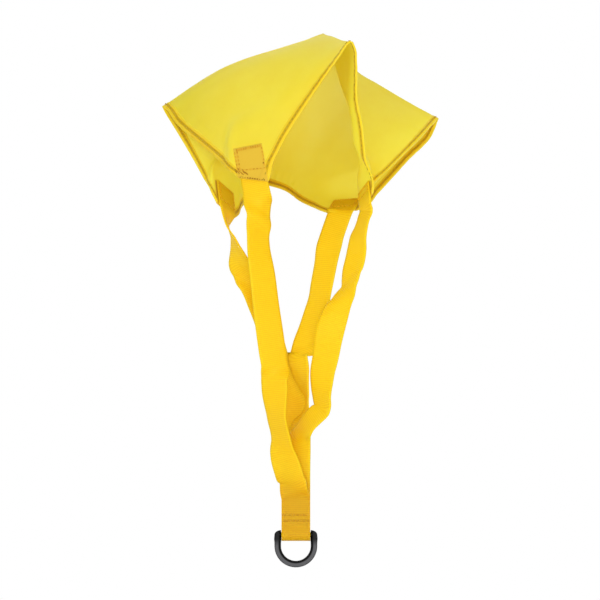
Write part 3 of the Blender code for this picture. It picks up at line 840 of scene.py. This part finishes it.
def turnShoulder(bm, face, centre):
    # the arm's end turns in over the bar
    outline = list(face.edges)
    bmesh.ops.delete(bm, geom=[face], context='FACES_ONLY')
    steps = ring["shoulderSteps"]
    for turn in range(1, steps + 1):
        angle = pi / 2 * turn / steps
        grown = bmesh.ops.extrude_edge_only(bm, edges=outline)["geom"]
        outline = partsOf(grown, bmesh.types.BMEdge)
        shrink = ring["endShrink"]
        if turn < steps:
            shrink = cos(angle) / cos(pi / 2 * (turn - 1) / steps)
        for vert in partsOf(grown, bmesh.types.BMVert):
            vert.co.x = centre + (vert.co.x - centre) * shrink
            vert.co.y *= 1 - ring["shoulderThin"] * (turn / steps) ** 4
            vert.co.z = ring["shoulder"] * sin(angle)
    bmesh.ops.contextual_create(bm, geom=outline)


def buildRing(material):
    middle = ringInner + ring["section"] / 2
    bowCentre = (0, 0, -ring["armLength"])
    bm = bmesh.new()
    # the section, in the plane across the arm's lower end
    made = bmesh.ops.create_grid(bm, x_segments=1, y_segments=1, size=0.5)["verts"]
    bmesh.ops.scale(bm, vec=(ring["section"], ring["thick"], 1), verts=made)
    outer = [vert for vert in made if vert.co.x > 0]
    inner = [vert for vert in made if vert.co.x < 0]
    for verts, offset in ((outer, ring["edge"]), (inner, ring["innerEdge"])):
        bmesh.ops.bevel(bm, geom=verts, offset=offset, segments=ring["edgeSteps"], profile=0.5,
                        material=-1, affect='VERTICES')
    bmesh.ops.translate(bm, vec=(middle, 0, -ring["armLength"]), verts=bm.verts[:])
    # the bow, and an arm on each of its ends
    bmesh.ops.spin(bm, geom=bm.faces[:] + bm.edges[:] + bm.verts[:], cent=bowCentre,
                   axis=(0, 1, 0), dvec=(0, 0, 0), angle=pi, steps=ring["bowSteps"],
                   use_merge=False)
    ends = [face for face in bm.faces if abs(face.normal.z) > 0.9
            and abs(face.calc_center_median().z + ring["armLength"]) < 1e-6]
    for face in ends:
        side = 1 if face.calc_center_median().x > 0 else -1
        turnShoulder(bm, raiseArm(bm, face), side * ringInner)
    # each arm swells where the bar runs into it
    for vert in bm.verts:
        if vert.co.z > -ring["knuckleFrom"] * ring["armLength"]:
            centre = middle if vert.co.x > 0 else -middle
            swell = bump(vert.co.z + ring["knuckleDrop"], ring["knuckleWidth"])
            vert.co.x += (vert.co.x - centre) * ring["knuckle"] * swell
    bmesh.ops.remove_doubles(bm, verts=bm.verts[:], dist=ring["merge"])
    bmesh.ops.recalc_face_normals(bm, faces=bm.faces[:])
    radius = ring["barDiameter"] / 2
    bar = bmesh.ops.create_cone(bm, segments=ring["barSides"], radius1=radius, radius2=radius,
                                depth=2 * middle, cap_ends=True)["verts"]
    bmesh.ops.rotate(bm, cent=(0, 0, 0), matrix=Matrix.Rotation(pi / 2, 3, 'Y'), verts=bar)
    bmesh.ops.translate(bm, vec=ring["barMiddle"], verts=bm.verts[:])
    piece = newPiece("dRing", bm, "tether_ring", "ring", material, "d_ring")
    piece.data.set_sharp_from_angle(angle=radians(ring["sharpAngle"]))


# materials
def waveScale(pitch):
    return 2 * pi / 20 / pitch


def clothMaterial():
    # nylon taffeta with a urethane coat, calendered: a soft even sheen, a faint weave,
    # and light comes through it
    material, tree, shader = newMaterial("coated nylon taffeta", {
        "Roughness": 0.48, "IOR": 1.5, "Specular IOR Level": 0.06,
        "Subsurface Radius": (1.0, 1.0, 0.75), "Subsurface Scale": 4 * millimetre})
    uv = addNode(tree, "UVMap", {"uv_map": "cut"})
    centred = addNode(tree, "VectorMath SUBTRACT", {1: (0.5, 0.5, 0)}, n0=uv)
    metres = addNode(tree, "VectorMath SCALE", {"Scale": canopy["side"]}, n0=centred)
    folded = addNode(tree, "VectorMath ABSOLUTE", n0=metres)
    x, y = addNode(tree, "SeparateXYZ", n0=folded).outputs[:2]
    dye = addNode(tree, "TexNoise", {"Scale": 28, "Detail": 3, "Roughness": 0.5}, Vector=metres)
    tone = addNode(tree, "ValToRGB", n0=dye)
    for stop, place, colour in zip(tone.color_ramp.elements, (0.3, 0.7), ("#f9d334", "#fcd93d")):
        stop.position = place
        stop.color = toLinear(colour)
    # painted shade: a hem is three layers of cloth, which let less light through, so it is
    # multiplied darker and deeper
    outer = addNode(tree, "Math MAXIMUM", n0=x, n1=y)
    hem = addNode(tree, "Math GREATER_THAN", {1: half - canopy["hemWidth"]}, n0=outer)
    darker = {"data_type": 'RGBA', "blend_type": 'MULTIPLY'}
    hemShaded = addNode(tree, "Mix", {**darker, 7: toLinear("#e8e7d4")}, n0=hem, n6=tone)
    # the stitches pull the cloth into a groove, which gathers shade
    inGroove = {1: half - stitching["hemInset"], 2: stitching["grooveWidth"] / 2}
    groove = addNode(tree, "Math COMPARE", inGroove, n0=outer)
    grooved = addNode(tree, "Mix", {**darker, 7: toLinear("#e0d8b4")}, n0=groove,
                      n6=hemShaded.outputs[2])
    # the orange webbing shows through the cloth where it is sewn on behind
    apart = addNode(tree, "Math SUBTRACT", n0=x, n1=y)
    nearDiagonal = {1: 0, 2: webbing["shownWidth"] / sqrt(2)}
    across = addNode(tree, "Math COMPARE", nearDiagonal, n0=apart)
    total = addNode(tree, "Math ADD", n0=x, n1=y)
    # less of the front right corner's webbing is sewn on
    signedX, signedY = addNode(tree, "SeparateXYZ", n0=metres).outputs[:2]
    right = addNode(tree, "Math GREATER_THAN", {1: 0}, n0=signedX)
    front = addNode(tree, "Math LESS_THAN", {1: 0}, n0=signedY)
    short = addNode(tree, "Math MULTIPLY", n0=right, n1=front)
    shorter = (corners["frontRight"]["sewn"] - webbing["sewnLength"]) * sqrt(2)
    reached = addNode(tree, "Math MULTIPLY_ADD", {1: shorter}, n0=short, n2=total)
    sewnFrom = (edgeAlong - webbing["sewnLength"]) * sqrt(2)
    along = addNode(tree, "Math GREATER_THAN", {1: sewnFrom}, n0=reached)
    backed = addNode(tree, "Math MULTIPLY", n0=across, n1=along)
    tinted = addNode(tree, "Mix", {"data_type": 'RGBA', 7: toLinear("#d9b136")}, n0=backed,
                     n6=grooved.outputs[2])
    link(tree, tinted.outputs[2], shader.inputs["Base Color"])
    through = addNode(tree, "MapRange", {"To Min": 1.0, "To Max": 0.1}, Value=backed)
    link(tree, through, shader.inputs["Subsurface Weight"])
    # weave of 0.3 mm threads, drawn at 0.9 mm so that it shows
    threads = {"Scale": waveScale(0.9 * millimetre)}
    alongX = addNode(tree, "TexWave", {"bands_direction": 'X', **threads}, Vector=metres)
    alongY = addNode(tree, "TexWave", {"bands_direction": 'Y', **threads}, Vector=metres)
    weave = addNode(tree, "Math MULTIPLY", n0=alongX.outputs[1], n1=alongY.outputs[1])
    crumple = addNode(tree, "TexNoise", {"Scale": 12, "Detail": 3, "Roughness": 0.5}, Vector=metres)
    fine = addNode(tree, "Bump", {"Strength": 0.06, "Distance": 0.0002}, Height=weave)
    broad = addNode(tree, "Bump", {"Strength": 0.08, "Distance": 0.002}, Height=crumple,
                    Normal=fine)
    link(tree, broad, shader.inputs["Normal"])
    return material


def webbingMaterial():
    # woven polyester webbing: dull, with ribs of weft across it and rows of warp along it
    material, tree, shader = newMaterial("woven polyester webbing", {
        "Roughness": 0.62, "IOR": 1.5, "Specular IOR Level": 0.2, "Subsurface Weight": 0.7,
        "Subsurface Radius": (1.0, 0.88, 0.25), "Subsurface Scale": 5 * millimetre})
    uv = addNode(tree, "UVMap", {"uv_map": "cut"})
    # ribs of 1 mm and warp rows of 1.25 mm, drawn at 1.7 and 2.1 mm so that they show
    rows = {"bands_direction": 'X', "Scale": waveScale(2.1 * millimetre)}
    ribs = {"bands_direction": 'Y', "Scale": waveScale(1.7 * millimetre)}
    warp = addNode(tree, "TexWave", rows, Vector=uv).outputs[1]
    weft = addNode(tree, "TexWave", ribs, Vector=uv).outputs[1]
    faint = addNode(tree, "Math MULTIPLY_ADD", {1: 0.35, 2: 0.65}, n0=warp)
    grid = addNode(tree, "Math MULTIPLY", n0=faint, n1=weft)
    fibre = addNode(tree, "TexNoise", {"Scale": 260, "Detail": 2}, Vector=uv)
    mixed = addNode(tree, "Math MULTIPLY_ADD", {1: 0.5}, n0=fibre, n2=grid)
    tone = addNode(tree, "ValToRGB", n0=mixed)
    for stop, place, colour in zip(tone.color_ramp.elements, (0.1, 0.9), ("#e8b306", "#f3c410")):
        stop.position = place
        stop.color = toLinear(colour)
    # painted shade: the webbing is multiplied darker from just above the stack down, fading in
    # where the legs fold into it and full over the stack and its loop round the bar
    objectPlace = addNode(tree, "TexCoord").outputs["Object"]
    height = addNode(tree, "SeparateXYZ", n0=objectPlace).outputs[2]
    start, end = webbing["stackShade"]
    stackShade = addNode(tree, "MapRange", {"From Min": start, "From Max": end}, Value=height)
    darker = {"data_type": 'RGBA', "blend_type": 'MULTIPLY', 7: toLinear("#ecdcba")}
    shadedTone = addNode(tree, "Mix", darker, n0=stackShade, n6=tone)
    link(tree, shadedTone.outputs[2], shader.inputs["Base Color"])
    relief = addNode(tree, "Bump", {"Strength": 0.14, "Distance": 0.0003}, Height=mixed)
    link(tree, relief, shader.inputs["Normal"])
    return material


def threadMaterial(colourName, dark, light):
    # bonded polyester sewing thread: hard laid, with a slight shine and uneven dye
    material, tree, shader = newMaterial(colourName + " bonded polyester thread", {
        "Roughness": 0.45, "Specular IOR Level": 0.15})
    objectPlace = addNode(tree, "TexCoord").outputs["Object"]
    dye = addNode(tree, "TexNoise", {"Scale": 180, "Detail": 2}, Vector=objectPlace)
    tone = addNode(tree, "ValToRGB", n0=dye)
    for stop, place, colour in zip(tone.color_ramp.elements, (0.35, 0.65), (dark, light)):
        stop.position = place
        stop.color = toLinear(colour)
    link(tree, tone, shader.inputs["Base Color"])
    return material


def ringMaterial():
    # moulded acetal, black and satin: painted reflection greys its broad faces, and painted shade
    # keeps its edges, the inside of its bow and its arms' ends by the bar black
    material, tree, shader = newMaterial("moulded black acetal", {
        "IOR": 1.48, "Specular IOR Level": 0.1})
    barX, barY, barZ = ring["barMiddle"]
    objectPlace = addNode(tree, "TexCoord").outputs["Object"]
    x, y, z = addNode(tree, "SeparateXYZ", n0=objectPlace).outputs
    behind = addNode(tree, "Math SUBTRACT", {1: barY}, n0=y)
    off = addNode(tree, "Math ABSOLUTE", n0=behind)
    reflectingFaceFrom, reflectingFaceTo = ring["reflectingFace"]
    onFace = {"From Min": ring["thick"] / 2 - reflectingFaceFrom * ring["edge"],
              "From Max": ring["thick"] / 2 - reflectingFaceTo * ring["edge"]}
    flat = addNode(tree, "MapRange", onFace, Value=off)
    # painted shade: the arms' ends by the bar are left black, fading to the grey faces below
    armShadeFrom, armShadeTo = ring["armShade"]
    belowArms = {"From Min": barZ - armShadeFrom, "From Max": barZ - armShadeTo, "To Min": 0.05}
    bowed = addNode(tree, "MapRange", belowArms, Value=z)
    # distance from the middle line of the arms, or from the bow's centre
    beside = addNode(tree, "Math SUBTRACT", {1: barX}, n0=x)
    under = addNode(tree, "Math SUBTRACT", {1: barZ - ring["armLength"]}, n0=z)
    below = addNode(tree, "Math MINIMUM", {1: 0}, n0=under)
    flatPlace = addNode(tree, "CombineXYZ", n0=beside, n1=below)
    radius = addNode(tree, "VectorMath LENGTH", n0=flatPlace).outputs[1]
    # painted shade: the bow's inner edge is kept black out to this distance from the ring's inside
    innerShadeFrom, innerShadeTo = ring["innerShade"]
    pastInnerShade = {"From Min": ringInner + innerShadeFrom, "From Max": ringInner + innerShadeTo}
    outwards = addNode(tree, "MapRange", pastInnerShade, Value=radius)
    bowFace = addNode(tree, "Math MULTIPLY", n0=flat, n1=bowed)
    broad = addNode(tree, "Math MULTIPLY", n0=bowFace, n1=outwards)
    grain = addNode(tree, "TexNoise", {"Scale": 1400, "Detail": 3}, Vector=objectPlace)
    # painted reflection: a cloudy grey laid over the broad faces
    cloudy = addNode(tree, "TexNoise", {"Scale": 120, "Detail": 2}, Vector=objectPlace)
    tone = addNode(tree, "ValToRGB", n0=cloudy)
    for stop, colour in zip(tone.color_ramp.elements, ("#4a4a4c", "#5b5b5e")):
        stop.color = toLinear(colour)
    black = {"data_type": 'RGBA', 6: toLinear("#040405")}
    paintedGrey = addNode(tree, "Mix", black, n0=broad, n7=tone)
    link(tree, paintedGrey.outputs[2], shader.inputs["Base Color"])
    gloss = addNode(tree, "MapRange", {"To Min": 0.32, "To Max": 0.44}, Value=grain)
    link(tree, gloss, shader.inputs["Roughness"])
    relief = addNode(tree, "Bump", {"Strength": 0.2, "Distance": 0.0001}, Height=grain)
    link(tree, relief, shader.inputs["Normal"])
    return material


cloth = clothMaterial()
woven = webbingMaterial()
oliveThread = threadMaterial("olive", "#a88e1c", "#c4a82c")
tanThread = threadMaterial("tan", "#c48c18", "#dca828")
goldenThread = threadMaterial("golden", "#d8a40c", "#efba18")
brownThread = threadMaterial("brown", "#8c5f0c", "#b07c12")
acetal = ringMaterial()
canopyCloth = buildCanopy(cloth)
print("canopy hung")
buildWebbing("leftWebbing", webbings["left"], woven)
buildWebbing("rightWebbing", webbings["right"], woven)
print("webbing laid")
hemSewing = buildHemSewing(oliveThread)
cornerSewing = buildCornerSewing("cornerSewing", -1, tanThread)
insideSewing = buildCornerSewing("insideSewing", 1, goldenThread)
backTacking = buildBackTacking(brownThread)
buildStackSewing(tanThread)
print("seams sewn")
buildRing(acetal)
print("ring moulded")

# floor, backdrop and light
studio = {
    "floorDrop": 0.1,
    "floorRadius": 1.15,
    "floorSides": 96,
    "worldLight": 0.81,
    "lamps": {    # place, aim, size and power of each
        "key": ((-0.7, -2.4, 0.4), (-0.02, -0.05, -0.2), 1.4, 10),
        "fill": ((0.3, -2.2, -0.45), (0, -0.05, -0.1), 1.2, 17),
    },
}


def addLamp(name, place, aim, size, power):
    data = bpy.data.lights.new(name, 'AREA')
    data.shape = 'DISK'
    data.size = size
    data.energy = power
    lamp = addObject(name, data)
    lamp.location = place
    lamp.rotation_euler = (Vector(aim) - Vector(place)).to_track_quat('-Z', 'Y').to_euler()


def buildFloor():
    bm = bmesh.new()
    bmesh.ops.create_circle(bm, cap_ends=True, segments=studio["floorSides"],
                            radius=studio["floorRadius"])
    bmesh.ops.translate(bm, vec=(0, 0, cadLow.z - studio["floorDrop"]), verts=bm.verts[:])
    floor = addObject("floor", finishMesh(bm, "floor"))
    paint = {"Base Color": toLinear("#f4f4f2"), "Roughness": 0.8}
    floor.data.materials.append(newMaterial("matt white floor paint", paint)[0])


def buildWorld():
    # the camera sees plain white, and the object is lit by a lower level of it
    world = bpy.data.worlds.new("studio")
    bpy.context.scene.world = world
    world.use_nodes = True
    tree = world.node_tree
    light = tree.nodes["Background"]
    light.inputs[0].default_value = (1, 1, 1, 1)
    light.inputs[1].default_value = studio["worldLight"]
    seen = addNode(tree, "Background", {0: (1, 1, 1, 1), 1: 1.0})
    rays = addNode(tree, "LightPath").outputs
    shown = addNode(tree, "Math MAXIMUM", n0=rays["Is Camera Ray"], n1=rays["Is Glossy Ray"])
    shown = addNode(tree, "Math MAXIMUM", n0=shown, n1=rays["Is Transmission Ray"])
    mixed = addNode(tree, "MixShader", n0=shown, n1=light, n2=seen)
    link(tree, mixed, tree.nodes["World Output"].inputs[0])


buildFloor()
buildWorld()
for lampName, lampSettings in studio["lamps"].items():
    addLamp(lampName, *lampSettings)
bpy.context.scene.view_settings.view_transform = 'Standard'
print("studio lit")
